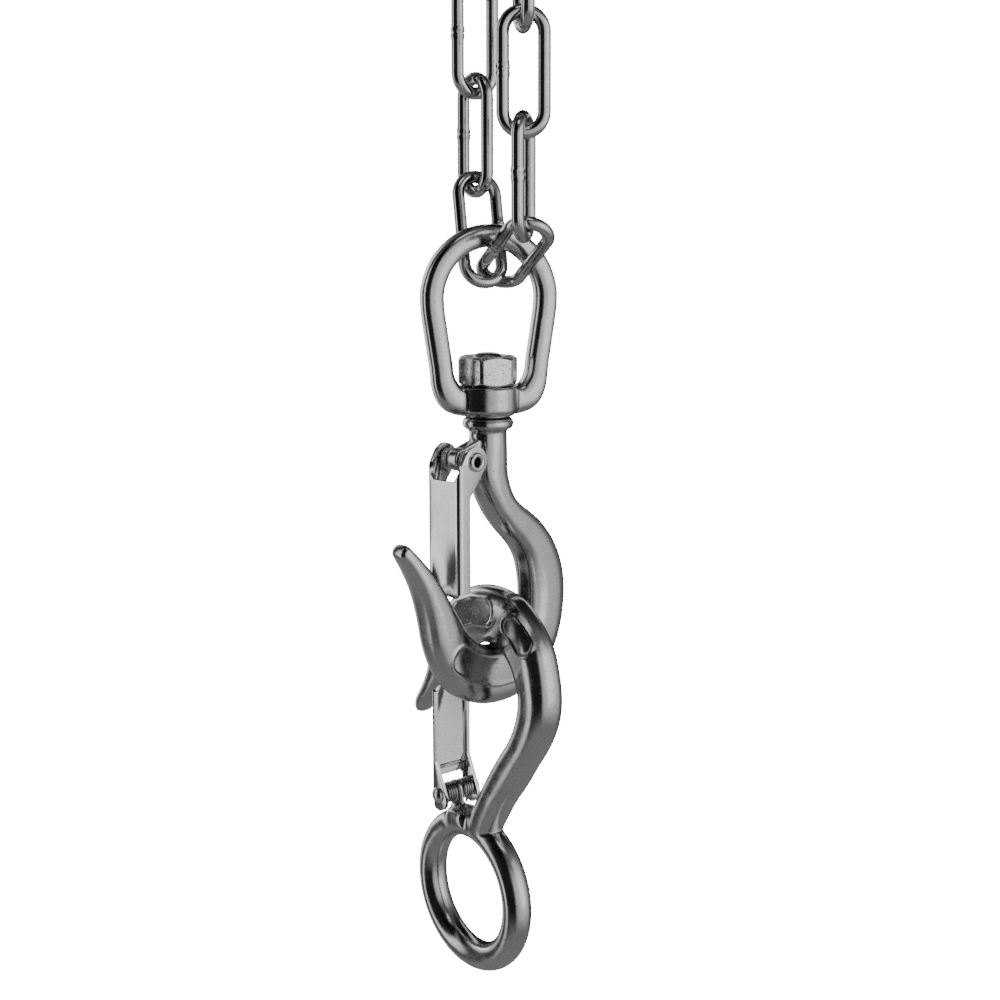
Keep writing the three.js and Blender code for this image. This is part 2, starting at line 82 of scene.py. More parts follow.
def new_piece(name, points, faces, place=Matrix.Identity(4)):
    """A mesh object from points in millimetres, in the frame given by place."""
    mesh = bpy.data.meshes.new(name)
    mesh.from_pydata((to_world(points, place) * MM).tolist(), [], faces)
    bm = bmesh.new()
    bm.from_mesh(mesh)
    bmesh.ops.recalc_face_normals(bm, faces=bm.faces)
    bm.to_mesh(mesh)
    bm.free()
    piece = bpy.data.objects.new(name, mesh)
    bpy.context.scene.collection.objects.link(piece)
    return piece


def finish_piece(piece, body, node, material, crease=None):
    """Shades a piece and puts it in its node's place; faces meeting above crease stay crisp."""
    for polygon in piece.data.polygons:
        polygon.use_smooth = True
    if crease:
        piece.data.set_sharp_from_angle(angle=radians(crease))
    piece.data.materials.clear()
    piece.data.materials.append(material)
    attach(piece, body)
    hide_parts(node)


def tube(rings, closed=False):
    """Points and faces over rings of points; an open run gets a fan at each end."""
    rings = [np.asarray(ring, float) for ring in rings]
    sides = len(rings[0])
    points = [p for ring in rings for p in ring]
    faces = []
    spans = len(rings) if closed else len(rings) - 1
    for i in range(spans):
        here = i * sides
        there = ((i + 1) % len(rings)) * sides
        for j in range(sides):
            k = (j + 1) % sides
            faces.append((here + j, here + k, there + k, there + j))
    if not closed:
        for start, ring in ((0, rings[0]), ((len(rings) - 1) * sides, rings[-1])):
            hub = len(points)
            points.append(ring.mean(axis=0))
            for j in range(sides):
                faces.append((start + j, start + (j + 1) % sides, hub))
    return points, faces


def joined(*parts):
    """Several parts' points and faces as one list of each."""
    points = []
    faces = []
    for part_points, part_faces in parts:
        shift = len(points)
        points.extend(part_points)
        faces.extend(tuple(v + shift for v in face) for face in part_faces)
    return points, faces


def moved(part, x, y, z):
    points, faces = part
    return [np.asarray(p) + (x, y, z) for p in points], faces


def laid_along_y(part):
    """Turns a part made about Z so that its axis runs along Y."""
    points, faces = part
    return [np.array((p[0], p[2], p[1])) for p in points], faces


def spline(points, share):
    """A smooth curve through points, at a share of its length counted in spans."""
    points = np.asarray(points, float)
    last = len(points) - 1
    place = share * last
    k = min(int(place), last - 1)
    w = place - k
    before = points[max(k - 1, 0)]
    start = points[k]
    end = points[k + 1]
    after = points[min(k + 2, last)]
    m0 = (end - before) / 2
    m1 = (after - start) / 2
    return (
        (2 * start - 2 * end + m0 + m1) * w**3
        + (-3 * start + 3 * end - 2 * m0 - m1) * w**2
        + m0 * w
        + start
    )


def rounded_outline(half_width, half_height, squareness, sides):
    """A superellipse: a squareness of 2 is an ellipse, and more is nearer a rectangle."""
    angles = (np.arange(sides) + 0.5) / sides * 2 * pi

    def bend(share):
        return np.sign(share) * np.abs(share) ** (2 / squareness)

    return np.stack([half_width * bend(np.cos(angles)), half_height * bend(np.sin(angles))], 1)


def full_turn(count):
    """Evenly spaced angles, once round."""
    return np.arange(count) / count * 2 * pi


def level_ring(radius, z, angles):
    """Points about Z at one height; radius is one number, or one for each angle."""
    return np.stack([radius * np.cos(angles), radius * np.sin(angles), z + 0 * angles], 1)


def upright_ring(radius, u, z, angles):
    """Points of a circle in the XZ plane, centred on (u, z)."""
    return np.stack([u + radius * np.cos(angles), 0 * angles, z + radius * np.sin(angles)], 1)


AXIS_RADIUS = 0.001  # stands for a radius of nothing


def lathe(profile, segments=72):
    """Turns [radius, z] pairs about Z."""
    angles = full_turn(segments)
    return tube([level_ring(max(radius, AXIS_RADIUS), z, angles) for radius, z in profile])


SLANT = (0.3, 0.5, 0.81)  # a direction that no wire starts along


def wire(path, radius, sides=14, closed=False, swell=None):
    """A round wire along a path, with frames carried from one point to the next."""
    path = np.asarray(path, float)
    count = len(path)
    rings = []
    side = None
    for i in range(count):
        if closed:
            along = path[(i + 1) % count] - path[i - 1]
        else:
            along = path[min(i + 1, count - 1)] - path[max(i - 1, 0)]
        along /= np.linalg.norm(along)
        if side is None:
            side = np.cross(along, SLANT)
        side = side - along * (side @ along)
        side /= np.linalg.norm(side)
        up = np.cross(along, side)
        r = radius if swell is None else radius * swell[i]
        rings.append([path[i] + r * (cos(a) * side + sin(a) * up) for a in full_turn(sides)])
    return tube(rings, closed)


def applied(piece):
    """The piece with its modifiers made part of its mesh."""
    graph = bpy.context.evaluated_depsgraph_get()
    mesh = bpy.data.meshes.new_from_object(piece.evaluated_get(graph))
    piece.modifiers.clear()
    piece.data = mesh
    return piece


def forged(piece, voxel, smoothing):
    """Merges overlapping solids into one skin with small fillets where they meet."""
    remesh = piece.modifiers.new("skin", "REMESH")
    remesh.mode = "VOXEL"
    remesh.voxel_size = voxel * MM
    smooth = piece.modifiers.new("fillets", "SMOOTH")
    smooth.factor = 0.5
    smooth.iterations = smoothing
    return applied(piece)


def local_points(piece, place):
    """The piece's points and normals in a design frame, in millimetres."""
    mesh = piece.data
    count = len(mesh.vertices)
    points = np.empty(count * 3)
    normals = np.empty(count * 3)
    mesh.vertices.foreach_get("co", points)
    mesh.vertices.foreach_get("normal", normals)
    back = np.array(place.inverted())
    points = points.reshape(-1, 3) / MM
    return points @ back[:3, :3].T + back[:3, 3], normals.reshape(-1, 3) @ back[:3, :3].T


def set_local_points(piece, points, place):
    piece.data.vertices.foreach_set("co", (to_world(points, place) * MM).ravel())
    piece.data.update()


def soften(piece, place, centre, radius, rounds):
    """Widens the fillets of a forging around one point of its plane."""
    points, _ = local_points(piece, place)
    distance = np.hypot(points[:, 0] - centre[0], points[:, 2] - centre[1])
    group = piece.vertex_groups.new(name="soft")
    for index, weight in enumerate(np.clip(1.8 - distance / radius, 0, 1)):
        if weight > 0:
            group.add([index], float(weight), "REPLACE")
    smooth = piece.modifiers.new("wide_fillets", "SMOOTH")
    smooth.factor = 0.5
    smooth.iterations = rounds
    smooth.vertex_group = group.name
    return applied(piece)


OVAL_HEIGHT = 0.42
OVAL_RIM = 0.4  # half width of the rim's bead
OVAL_FLOOR = 0.2  # the floor's depth as a share of the rim's height
FLOOR_INSET = 0.5
FLOOR_SLOPE = 0.18
FRONT_NORMAL = 0.45  # faces turned further away than this are not the front
FRONT_DEPTH = 2


def raise_oval(piece, place, side, centre_line, half_width):
    """Raises the rim of a long oval panel on the front of a forged piece, and dishes its floor."""
    points, normals = local_points(piece, place)
    flat = points[:, [0, 2]]
    line = np.asarray(centre_line, float)
    distance = np.full(len(flat), np.inf)
    for a, b in zip(line[:-1], line[1:]):
        span = b - a
        share = np.clip(((flat - a) @ span) / (span @ span), 0, 1)
        distance = np.minimum(distance, np.linalg.norm(flat - (a + share[:, None] * span), axis=1))
    front = (side * normals[:, 1] > FRONT_NORMAL) & (side * points[:, 1] > FRONT_DEPTH)
    outside = distance - half_width
    rim = np.exp(-((outside / OVAL_RIM) ** 2))
    floor = 1 / (1 + np.exp((outside + FLOOR_INSET) / FLOOR_SLOPE))
    points[:, 1] += side * OVAL_HEIGHT * (rim - OVAL_FLOOR * floor) * front
    set_local_points(piece, points, place)


# ---- Materials ----

# Noise scales, in cells to the metre
CLOUD_CELLS = 90
WAVE_CELLS = 130
POLISH_CELLS = 260
GRAIN_CELLS = 900
PIT_CELLS = 1500
FROST_CELLS = 2600

CLOUD_SHADE = 0.88
FROST_SHADE = 0.8
PIT_SHADE = 0.35
WAVE_HEIGHT = 0.0004
GRAIN_HEIGHT = 0.0001
GRAIN_STRENGTH = 0.12


def node_material(name):
    material = bpy.data.materials.new(name)
    material.use_nodes = True
    nodes = material.node_tree.nodes
    return material, nodes, material.node_tree.links, nodes["Principled BSDF"]


def noise(nodes, links, coordinates, scale, detail=3.0, roughness=0.5):
    texture = nodes.new("ShaderNodeTexNoise")
    texture.inputs["Scale"].default_value = scale
    texture.inputs["Detail"].default_value = detail
    texture.inputs["Roughness"].default_value = roughness
    links.new(coordinates, texture.inputs["Vector"])
    return texture.outputs["Fac"]


def ramp(nodes, links, source, stops):
    """A colour ramp over [place, value] stops; a value is a grey or a colour."""
    node = nodes.new("ShaderNodeValToRGB")
    elements = node.color_ramp.elements
    while len(elements) > 1:
        elements.remove(elements[-1])
    for i, (place, value) in enumerate(stops):
        element = elements[0] if i == 0 else elements.new(place)
        element.position = place
        colour = value if isinstance(value, tuple) else (value, value, value)
        element.color = (*colour, 1)
    links.new(source, node.inputs["Fac"])
    return node.outputs["Color"]


def multiply(nodes, links, a, b):
    node = nodes.new("ShaderNodeMix")
    node.data_type = "RGBA"
    node.blend_type = "MULTIPLY"
    node.inputs["Factor"].default_value = 1
    links.new(a, node.inputs["A"])
    links.new(b, node.inputs["B"])
    return node.outputs["Result"]


def bumped(nodes, links, height, strength, distance):
    """A bump node over a height, with its depth in metres."""
    node = nodes.new("ShaderNodeBump")
    node.inputs["Strength"].default_value = strength
    node.inputs["Distance"].default_value = distance
    links.new(height, node.inputs["Height"])
    return node


def steel(name, tone, roughness, waviness, pits, grain=None):
    """Stainless steel: cloudy tone, uneven polish, fine pits, and a forged or rolled surface."""
    material, nodes, links, shader = node_material(name)
    coordinates = nodes.new("ShaderNodeTexCoord").outputs["Object"]
    shader.inputs["Metallic"].default_value = 1
    cloud = noise(nodes, links, coordinates, CLOUD_CELLS, 4)
    clouded = tuple(c * CLOUD_SHADE for c in tone)
    tint = ramp(nodes, links, cloud, [(0.3, clouded), (0.7, tone)])
    frost = noise(nodes, links, coordinates, FROST_CELLS, 2)
    frosted = ramp(nodes, links, frost, [(0.35, FROST_SHADE), (0.62, 1.0)])
    tint = multiply(nodes, links, tint, frosted)
    speck = noise(nodes, links, coordinates, PIT_CELLS, 2, 0.6)
    dark = ramp(nodes, links, speck, [(pits - 0.05, PIT_SHADE), (pits, 1.0)])
    links.new(multiply(nodes, links, tint, dark), shader.inputs["Base Color"])
    polish = noise(nodes, links, coordinates, POLISH_CELLS, 5, 0.65)
    low, high = roughness
    links.new(ramp(nodes, links, polish, [(0.3, low), (0.72, high)]), shader.inputs["Roughness"])
    height = nodes.new("ShaderNodeMath")
    height.operation = "ADD"
    links.new(noise(nodes, links, coordinates, WAVE_CELLS, 2), height.inputs[0])
    links.new(dark, height.inputs[1])
    surface = bumped(nodes, links, height.outputs[0], waviness, WAVE_HEIGHT)
    if grain:
        stretch = nodes.new("ShaderNodeMapping")
        stretch.inputs["Scale"].default_value = grain
        links.new(coordinates, stretch.inputs["Vector"])
        lines = noise(nodes, links, stretch.outputs["Vector"], GRAIN_CELLS, 2)
        brushed = bumped(nodes, links, lines, GRAIN_STRENGTH, GRAIN_HEIGHT)
        links.new(surface.outputs["Normal"], brushed.inputs["Normal"])
        surface = brushed
    links.new(surface.outputs["Normal"], shader.inputs["Normal"])
    return material


FORGED = steel("forged_steel", (0.66, 0.66, 0.66), (0.12, 0.24), 0.16, 0.34)
CHAIN = steel("chain_steel", (0.68, 0.68, 0.68), (0.06, 0.15), 0.14, 0.33)
TURNED = steel("nut_steel", (0.84, 0.84, 0.84), (0.12, 0.26), 0.3, 0.39)
SHEET_STEEL = steel("latch_sheet", (0.94, 0.94, 0.94), (0.09, 0.17), 0.06, 0.3, grain=(1, 1, 0.05))
# painted shade: near-black steel for the plug that darkens the tubular rivet's bore
PAINTED_BORE_SHADE = steel("bore_shadow", (0.012, 0.012, 0.012), (0.5, 0.7), 0.1, 0.3)
SPRING_STEEL = steel("spring_wire", (0.62, 0.62, 0.63), (0.14, 0.24), 0.06, 0.3)

# ---- Top ring ----

RING_HOLE = 23.5  # radius of the opening, whose top is the origin
RING_RADIUS = 26.5  # of the wire's centre line
RING_WIRE = 2.9  # wire radius, a little under 3 so that the chain swings clear
RING_TURN = 27
RING_WELD_RISE = 0.04
RING_WELD_LENGTH = 1.2


def ring():
    """A round wire bent to a ring, with a slight weld where its ends meet."""
    angles = full_turn(128)
    path = upright_ring(RING_RADIUS, 0, 0, angles)
    from_weld = (angles - pi) * RING_RADIUS
    swell = 1 + RING_WELD_RISE * np.exp(-((from_weld / RING_WELD_LENGTH) ** 2))
    place = Matrix.Translation((0, 0, -RING_HOLE)) @ turn(RING_TURN)
    return new_piece("ring_wire", *wire(path, RING_WIRE, 32, closed=True, swell=swell), place)


finish_piece(ring(), "ring", "top_ring", FORGED)

# ---- Chain ----

LINK_REACH = 34  # wire centre to wire centre, from end to end
LINK_RADIUS = 6  # of the wire's centre line round each end
LINK_WIRE = 1.93  # wire radius, a little under 2 so that moved links stay clear
LINK_SIDES = 28
WELD_Z = 0.6
WELD_RISE = 0.1
WELD_LENGTH = 2
SEAM_DEPTH = 0.09
SEAM_LENGTH = 0.3
SCUFF = 0.06


def link_place(node):
    """Where a chain link lies: its long axis on Z and its width on X, read from the CAD node."""
    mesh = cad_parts[node].data
    points = np.array([v.co for v in mesh.vertices]) / MM
    points = np.unique(points.round(4), axis=0)
    centre = points.mean(axis=0)
    _, _, axes = np.linalg.svd(points - centre, full_matrices=False)
    along = axes[0] if axes[0][2] > 0 else -axes[0]
    width = axes[1] if axes[1][0] > 0 else -axes[1]
    face = np.cross(along, width)
    place = Matrix.Identity(4)
    for column, axis in enumerate((width, face, along, centre)):
        for row in range(3):
            place[row][column] = axis[row]
    return place


def link(name, node, weld_side):
    """A bent and butt-welded link; the weld is a low collar halfway up one leg."""
    straight = LINK_REACH / 2 - LINK_RADIUS
    path = []
    for end in (1, -1):
        for a in np.linspace(0, pi, 41):
            path.append((end * LINK_RADIUS * cos(a), 0, end * (LINK_RADIUS * sin(a) + straight)))
        leg = np.linspace(straight, -straight, 56)[1:-1]
        path.extend((-end * LINK_RADIUS, 0, end * z) for z in leg)
    path = np.array(path)
    height = path[:, 2]
    on_leg = (path[:, 0] * weld_side > LINK_RADIUS - 0.1) & (np.abs(height) < straight)
    collar = np.exp(-(((height - WELD_Z) / WELD_LENGTH) ** 4))
    seam = np.exp(-(((height - WELD_Z) / SEAM_LENGTH) ** 2))
    swell = 1 + on_leg * (WELD_RISE * collar - SEAM_DEPTH * seam)
    points, faces = wire(path, LINK_WIRE, LINK_SIDES, closed=True, swell=swell)
    centres = np.repeat(path, LINK_SIDES, axis=0)
    scuffs = np.random.default_rng(7).uniform(-SCUFF, SCUFF, len(centres))
    scuffs *= np.repeat(on_leg * collar, LINK_SIDES)
    points = centres + (np.array(points) - centres) * (1 + scuffs[:, None])
    return new_piece(name, points, faces, link_place(node))


# Which side of each link's width its weld is on
WELD_SIDES = {
    "top_link": 1,
    "back_link_1": 1,
    "back_link_2": -1,
    "back_link_3": -1,
    "back_link_4": 1,
    "front_link_1": 1,
    "front_link_2": -1,
    "front_link_3": -1,
    "front_link_4": -1,
}
for body, weld_side in WELD_SIDES.items():
    node = "chain_" + body
    finish_piece(link(body + "_wire", node, weld_side), body, node, CHAIN)

# ---- Swivel bow ----

COLLAR_HEIGHT = 3.8
HUB_BOTTOM = COLLAR_HEIGHT + GAP
HUB_HEIGHT = 9.4
HUB_TOP = HUB_BOTTOM + HUB_HEIGHT
HUB_RADIUS = 9.5
HUB_LOWER_CHAMFER = 1.8
HUB_UPPER_CHAMFER = 0.6
BOW_U = 0.5  # the bow's middle, from the shank's line
BOW_HALF_WIDTH = 3.5
BOW_HALF_DEPTH = 3.8
BOW_SQUARENESS = 2.7
FOOT_TOP = 17
FOOT_REACH = 7
FOOT_WIDENING = 1
FOOT_DEEPENING = 0.4
BOW_HALF = [
    (4.5, 8.9), (9.2, 8.9), (12.8, 10.6), (15.1, 15), (16, 21), (17.4, 30), (18.5, 38),
    (18.2, 44), (15.6, 50.3), (11, 55.2), (5.6, 58.1), (0, 59),
]


def bow():
    """One bar bent from foot to foot over the crown, on a turned hub."""
    path = BOW_HALF + [(-u, z) for u, z in BOW_HALF[-2::-1]]
    rings = []
    for share in np.linspace(0, 1, 221):
        u, z = spline(path, share)
        ahead = spline(path, min(share + 0.002, 1))
        behind = spline(path, max(share - 0.002, 0))
        along = (ahead - behind) / np.linalg.norm(ahead - behind)
        foot = min(max((FOOT_TOP - z) / FOOT_REACH, 0), 1)
        outline = rounded_outline(BOW_HALF_WIDTH + FOOT_WIDENING * foot,
                                  BOW_HALF_DEPTH + FOOT_DEEPENING * foot, BOW_SQUARENESS, 40)
        rings.append([(u + BOW_U + a * along[1], depth, z - a * along[0]) for a, depth in outline])
    hub = lathe([
        (0, HUB_BOTTOM), (HUB_RADIUS - HUB_LOWER_CHAMFER, HUB_BOTTOM),
        (HUB_RADIUS, HUB_BOTTOM + HUB_LOWER_CHAMFER), (HUB_RADIUS, HUB_TOP - HUB_UPPER_CHAMFER),
        (HUB_RADIUS - HUB_UPPER_CHAMFER, HUB_TOP), (0, HUB_TOP),
    ])
    piece = new_piece("bow_forging", *joined(tube(rings), hub), BOW)
    return forged(piece, voxel=0.4, smoothing=14)


finish_piece(bow(), "bow", "swivel_bow", FORGED)

# ---- Nut ----

NUT_BOTTOM = HUB_TOP + GAP
NUT_HEIGHT = 8.8
NUT_TOP = NUT_BOTTOM + NUT_HEIGHT
NUT_HALF_FLAT = 8.5
NUT_BORE = 5.3
NUT_TURN = 50
NUT_CORNER_CUT = 0.25
NUT_CORNER_SWELL = 0.05
NUT_CHAMFER = 0.25  # how far inside the flats the chamfer's cone starts
NUT_CHAMFER_SLOPE = 1.45


def nut():
    """A hexagon nut: the hexagon cut by a cone at the top and bottom, and its bore."""
    angles = full_turn(360)
    edge = NUT_HALF_FLAT / np.cos((angles + pi / 6) % (pi / 3) - pi / 6)
    corner = NUT_HALF_FLAT * 2 / sqrt(3) - NUT_CORNER_CUT
    edge = np.minimum(edge, corner + NUT_CORNER_SWELL * np.cos(angles * 6))
    lower = [0, 0.25, 0.5, 0.75, 1, 1.3, 1.8, 3, 4.4]
    heights = lower + [NUT_HEIGHT - h for h in lower[-2::-1]]
    rings = [level_ring(NUT_BORE, z, angles) for z in (NUT_TOP, NUT_BOTTOM)]
    for h in heights:
        cone = NUT_HALF_FLAT - NUT_CHAMFER + NUT_CHAMFER_SLOPE * min(h, NUT_HEIGHT - h)
        rings.append(level_ring(np.minimum(edge, cone), NUT_BOTTOM + h, angles))
    piece = new_piece("nut_hexagon", *tube(rings, closed=True), STEM @ turn(NUT_TURN))
    edges = piece.modifiers.new("edges", "BEVEL")
    edges.width = 0.12 * MM
    edges.segments = 2
    edges.angle_limit = radians(25)
    return applied(piece)


finish_piece(nut(), "hook", "hook_nut", TURNED, crease=25)

# ---- Forged hooks, as pairs of points on the inner and outer edge ----

NECK = 5.8  # radius
BOWL = [
    ((15.6, 7.6), (30.2, 2.4)), ((12.6, 3.7), (26.2, -6.4)), ((8.4, 1), (18.6, -13.6)),
    ((3, 0), (8.6, -18.2)), ((-3, 1.3), (-4, -17.9)), ((-8.4, 4.5), (-14.5, -13.4)),
    ((-12.7, 9), (-21.4, -6)), ((-16.4, 14.6), (-25.4, 3)), ((-20.8, 21.4), (-27.9, 14)),
    ((-25.9, 28.5), (-30.6, 22.4)), ((-31, 34.2), (-34.4, 29.6)), ((-34.8, 38), (-37.6, 34.4)),
    ((-36.4, 38.6), (-38, 36.4)),
]
SWIVEL_BACK = [
    ((-NECK, SEAT_DROP), (NECK, SEAT_DROP)), ((-NECK, 63), (NECK, 63)),
    ((-NECK, 56.5), (NECK, 55.5)), ((-3.6, 49.5), (7.9, 49)), ((0.6, 42.4), (11, 45.4)),
    ((5.6, 36.4), (15.2, 42.6)), ((10.6, 31.4), (21, 38)), ((14, 26.4), (26.8, 31)),
    ((15.8, 20.4), (30.7, 22.4)), ((16.4, 14), (31.8, 13)),
]
EYE_BACK = [
    ((-11.5, 66), (2.6, 67.6)), ((-8.8, 62.4), (4, 64)), ((-5.6, 57.6), (6.6, 59.2)),
    ((-2, 52), (10.6, 52.6)), ((3, 43.6), (16.2, 45.4)), ((8.2, 36), (21.4, 37.8)),
    ((13.6, 28.6), (27, 29.8)), ((17, 21), (31, 21.6)), ((18, 14), (32.4, 14)),
]
BOWL_CENTRE = np.array((BOWL_U, 15.5))
EYE_BOWL_TURN = radians(6)
EYE_TIP_CUT = 2.6 * np.array((-0.75, 0.66))  # what the eye hook's tip is shorter by
EYE_TIP_PAIRS = 2
EYE_U = -8.5
EYE_DROP = 87.8
EYE_RADIUS = 22.8
EYE_BAR = 4.8

HALF_THICKNESS = 6
NECK_SPANS = 4  # spans over which a round neck turns square
ROOT_SPANS = 3  # spans over which a flat neck thickens
ROOT_THINNING = 1.3
TIP_THINNING = 3.4
TIP_TAPER = 1.6
TIP_START = 0.72  # share of the length where the hook starts to thin towards its tip
TIP_SPANS = 0.8  # spans over which the tip closes
TIP_LEAST = 0.08

COLLAR_INNER = 6.3
COLLAR_BULGE = 1.7
SHANK = 5  # radius
SHANK_DOME = [(5, -0.1), (3.6, 0.8), (1.8, 1.1), (0, 1.2)]  # radius and height over the nut


def eye_bowl():
    """The eye hook's bowl is the other's, turned a little, with a shorter tip."""
    c = cos(EYE_BOWL_TURN)
    s = sin(EYE_BOWL_TURN)
    turned = []
    for i, pair in enumerate(BOWL):
        cut = EYE_TIP_CUT if i >= len(BOWL) - EYE_TIP_PAIRS else 0
        new_pair = []
        for point in pair:
            u, z = np.array(point, float) - cut - BOWL_CENTRE
            new_pair.append((BOWL_CENTRE[0] + c * u - s * z, BOWL_CENTRE[1] + s * u + c * z))
        turned.append(tuple(new_pair))
    return turned


def hook_body(sections, neck_is_round, squareness):
    """A forging lofted through its sections, from the neck to a domed tip."""
    inner = [pair[0] for pair in sections]
    outer = [pair[1] for pair in sections]
    spans = len(sections) - 1
    steps = spans * 10
    rings = []
    for i in range(steps + 1):
        share = i / steps
        inside = spline(inner, share)
        outside = spline(outer, share)
        half = np.linalg.norm(outside - inside) / 2
        centre = (inside + outside) / 2
        across = (outside - inside) / (2 * half)
        neck = max(0, 1 - share * spans / NECK_SPANS) if neck_is_round else 0
        root = 0 if neck_is_round else max(0, 1 - share * spans / ROOT_SPANS)
        taper = max(0, (share - TIP_START) / (1 - TIP_START))
        closing = max(0, 1 - (1 - share) * spans / TIP_SPANS)
        dome = max(TIP_LEAST, sqrt(1 - closing**2))
        flat = HALF_THICKNESS - TIP_THINNING * taper**TIP_TAPER - ROOT_THINNING * root
        thickness = flat * (1 - neck) + half * neck
        outline = rounded_outline(half * dome, thickness * dome, squareness - neck, 56)
        rings.append([(centre[0] + across[0] * a, depth, centre[1] + across[1] * a)
                      for a, depth in outline])
    return tube(rings)


LUG_RADIUS = 3.6
LUG_EDGE = 0.3
LUG_EDGE_SHARE = 0.94


def lug(latch, start, *roots):
    """The ear of the forging that carries the latch's rivet, rounded about the pivot."""
    u, z = latch["pivot"]
    outline = [(u + LUG_RADIUS * cos(a), z + LUG_RADIUS * sin(a))
               for a in np.linspace(radians(start), radians(start + 180), 24)]
    outline += roots
    half = latch["lug_half"]
    levels = [(-half, LUG_EDGE_SHARE), (-half + LUG_EDGE, 1), (half - LUG_EDGE, 1),
              (half, LUG_EDGE_SHARE)]
    return tube([[(u + (a - u) * share, depth, z + (b - z) * share) for a, b in outline]
                 for depth, share in levels])


# The two latches, each in its hook's frame:
# web and end are where its sheet lies and where it stops; web_start is how far under the pivot
# the web starts, and drop how far over it the ears are centred; ear is the ears' radius, flange
# how far the sides reach back, and head the rivet heads' radius; lug_half is half the thickness
# of the lug between the coils, turns the turns in each coil, and leg where the spring ends,
# from the pivot.
UPPER = {
    "pivot": (-12.2, 61.4), "web": -19.1, "web_start": 5.9, "end": 20.6,
    "ear": 4.6, "drop": 0, "flange": 4.4, "head": 3.1,
    "lug_half": 2.2, "turns": 2.5, "leg": (4.2, -4.5),
}
LOWER = {
    "pivot": (-18, 55.8), "web": -22, "web_start": 5.4, "end": 20.2,
    "ear": 4, "drop": 1.5, "flange": 2.4, "head": 2.6,
    "lug_half": 1.2, "turns": 3.5, "leg": (3.4, 3.6),
}


def swivel_hook():
    """A hook with a round shank and collar, and a lug for its latch."""
    middle = SEAT_DROP + COLLAR_HEIGHT / 2
    bulge = [(COLLAR_INNER + COLLAR_BULGE * sin(a), middle - (COLLAR_HEIGHT / 2) * cos(a))
             for a in np.linspace(0, pi, 14)]
    turned = lathe([
        (0, SEAT_DROP - 3), (NECK - 0.2, SEAT_DROP - 3), (NECK, SEAT_DROP - 0.4),
        (COLLAR_INNER, SEAT_DROP), *bulge, (SHANK, SEAT_DROP + COLLAR_HEIGHT),
        *((radius, SEAT_DROP + NUT_TOP + rise) for radius, rise in SHANK_DOME),
    ])
    body = hook_body(SWIVEL_BACK + BOWL, neck_is_round=True, squareness=3)
    ear = lug(UPPER, 90, (-4, 53), (-4, 67.5))
    piece = new_piece("hook_forging", *joined(body, turned, ear), HOOK)
    piece = forged(piece, voxel=0.36, smoothing=12)
    panel = [(-16.2, -0.2), (-12, -3.4), (-6, -5.6), (0, -6.6), (8, -6.6)]
    raise_oval(piece, HOOK, -1, panel, half_width=4.7)
    return piece


def eye_hook():
    """A hook with a large eye, and a lug on a pad where the eye starts."""
    body = hook_body(EYE_BACK + eye_bowl(), neck_is_round=False, squareness=2.5)
    circle = upright_ring(EYE_RADIUS, EYE_U, EYE_DROP, full_turn(160))
    eye = wire(circle, EYE_BAR, 40, closed=True)
    ear = lug(LOWER, 180, (-13.4, 62), (-12.5, 65), (-18.5, 66))
    outline = np.array([(-18.5, 61), (-9, 59.8), (-8, 66), (-19, 67.5)])
    inner_corner = outline[2]
    pad = tube([[(u, depth, z) for u, z in (outline - inner_corner) * size + inner_corner]
                for depth, size in ((-5.5, 0.8), (-4.4, 1), (4.4, 1), (5.5, 0.8))])
    piece = new_piece("eye_hook_forging", *joined(body, eye, ear, pad), EYE_HOOK)
    piece = forged(piece, voxel=0.38, smoothing=12)
    soften(piece, EYE_HOOK, centre=(-13, 66), radius=8, rounds=160)
    raise_oval(piece, EYE_HOOK, 1, [(17, -9.2), (20, -7.2), (23, -4.2)], half_width=3.4)
    raise_oval(piece, EYE_HOOK, 1, [(-8, -8.2), (-2, -10.6), (4.5, -11.4)], half_width=4.3)
    return piece


finish_piece(swivel_hook(), "hook", "swivel_hook", FORGED)
finish_piece(eye_hook(), "lower_hook", "eye_hook", FORGED)

# ---- Latches: sheet folded to a channel ----

SHEET = 1.3
LATCH_HALF = 7.3  # half the width over both sides
BEND = 1.5  # radius
BEND_LENGTH = BEND * pi / 2
FLAT_HALF = LATCH_HALF - BEND
TONGUE = 22  # length over which the web is dished
TONGUE_DISH = 1.3
EAR_START = -0.35  # radians, on the ears' outline
EAR_END = 0.86 * pi
SIDE_STEP = 11  # how far under the pivot the sides narrow


def flap(depth):
    """How far across the flat blank a flange's point lies, from its depth behind the web."""
    return FLAT_HALF + BEND_LENGTH + depth - BEND


def latch_outline(shape):
    """The flat blank's outline: distance across from the middle, and height."""
    u, z = shape["pivot"]
    reach = u - shape["web"]
    low = z + shape["drop"]
    turns = [*np.linspace(EAR_START, pi / 2, 14), *np.linspace(pi / 2, EAR_END, 8)[1:]]
    ear = [(flap(max(reach + shape["ear"] * cos(a), BEND)), low + shape["ear"] * sin(a))
           for a in turns]
    end = shape["end"]
    edge = flap(shape["flange"])
    head = z - shape["web_start"]
    side = [
        (FLAT_HALF - 1.5, end - 1.2), (FLAT_HALF - 0.3, end + 0.3), (edge, end + 0.5),
        (edge, z - SIDE_STEP), *ear, (FLAT_HALF - 0.3, head + 1.4), (FLAT_HALF - 1.4, head),
    ]
    return side + [(-s, h) for s, h in reversed(side)]


